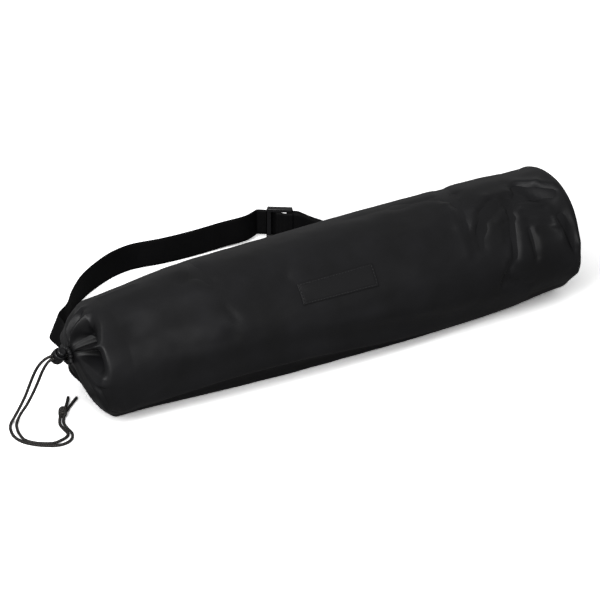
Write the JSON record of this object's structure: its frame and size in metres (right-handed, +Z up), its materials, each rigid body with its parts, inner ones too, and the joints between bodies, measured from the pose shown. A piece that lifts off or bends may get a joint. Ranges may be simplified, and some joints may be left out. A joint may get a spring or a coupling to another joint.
{
  "type": "yoga mat bag",
  "caption": "Soft cylindrical carry bag for a rolled mat, lying down, with a draw-cord mouth, cord lock and adjustable webbing strap.",
  "frame": {"origin": "on the surface that the bag lies on, under the middle of the bag's length", "axes": "+X along the bag from its drawn mouth to its round base, +Y towards the strap, +Z up"},
  "size_m": [0.7557, 0.3774, 0.1503],
  "materials": {
    "nylon": "coated plain-weave nylon with a soft sheen",
    "label": "bare woven label, matt",
    "draw_cord": "braided polyester cord with pale flecks",
    "moulded_plastic": "injection-moulded acetal",
    "webbing": "ribbed polypropylene webbing"
  },
  "bodies": {
    "bag": {"bag_body": "nylon", "base_panel": "nylon", "mouth_casing": "nylon", "label": "label", "cord_strand_outer": "draw_cord", "cord_strand_inner": "draw_cord", "cord_knot": "draw_cord", "cord_lock_body": "moulded_plastic", "strap_slider": "moulded_plastic", "strap_long": "webbing", "strap_short": "webbing"},
    "cord_lock_button": {"cord_lock_button": "moulded_plastic"}
  },
  "joints": [
    {"name": "button_press", "type": "slide", "parent": "bag", "child": "cord_lock_button", "axis": [-0.1003, 0.6018, -0.7923], "range_m": [0, 0.004], "stiffness_N_per_m": 400, "springref_m": -0.004}
  ]
}
